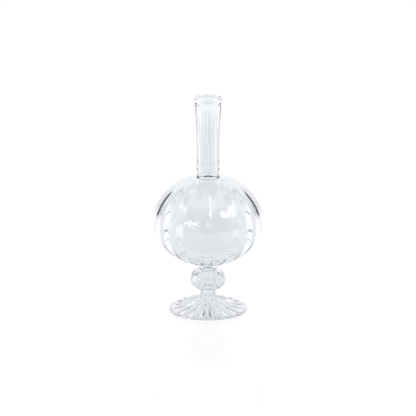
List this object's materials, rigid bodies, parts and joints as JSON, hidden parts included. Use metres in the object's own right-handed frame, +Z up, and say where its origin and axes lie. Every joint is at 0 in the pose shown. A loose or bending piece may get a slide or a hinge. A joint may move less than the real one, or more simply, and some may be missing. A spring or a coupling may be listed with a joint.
{
  "type": "bud vase",
  "caption": "Clear blown-glass bud vase: ribbed round bulb with a closed floor, tall narrow open neck, hollow knop stem and a spreading fluted foot.",
  "frame": {"origin": "centre of the ring on which the foot rests, on the vase's axis", "axes": "+Z up along the vase's axis, from the foot to the open lip; +X to the right and +Y away from someone who faces the vase"},
  "size_m": [0.1, 0.1, 0.2],
  "materials": {
    "clear_glass": "clear, fire-polished blown glass with a faint cool tint and soft optic ribs"
  },
  "bodies": {
    "root": {"neck": "clear_glass", "throat_seal": "clear_glass", "bulb": "clear_glass", "stem_seal": "clear_glass", "knop": "clear_glass", "waist": "clear_glass", "foot": "clear_glass"}
  },
  "joints": []
}
